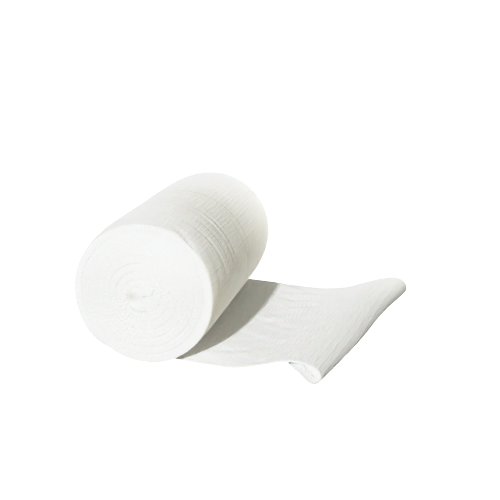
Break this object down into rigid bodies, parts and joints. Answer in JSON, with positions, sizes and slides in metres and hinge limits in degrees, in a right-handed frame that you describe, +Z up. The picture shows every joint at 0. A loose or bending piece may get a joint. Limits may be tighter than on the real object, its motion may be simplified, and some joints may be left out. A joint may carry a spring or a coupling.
{
  "type": "tubular bandage",
  "caption": "White knitted tubular bandage wound into a roll, its loose end laid out flat on the surface and turned under along a slanting fold.",
  "frame": {"origin": "centre of the footprint, on the surface that the bandage lies on", "axes": "+X from the roll towards its loose end, +Y along the roll's axis towards its far end, +Z up"},
  "size_m": [0.1409, 0.1171, 0.0666],
  "materials": {
    "roll_knit": "white cotton knit, matt",
    "loose_end_knit": "white cotton knit, matt"
  },
  "bodies": {
    "root": {"roll": "roll_knit", "loose_end": "loose_end_knit"}
  },
  "joints": []
}
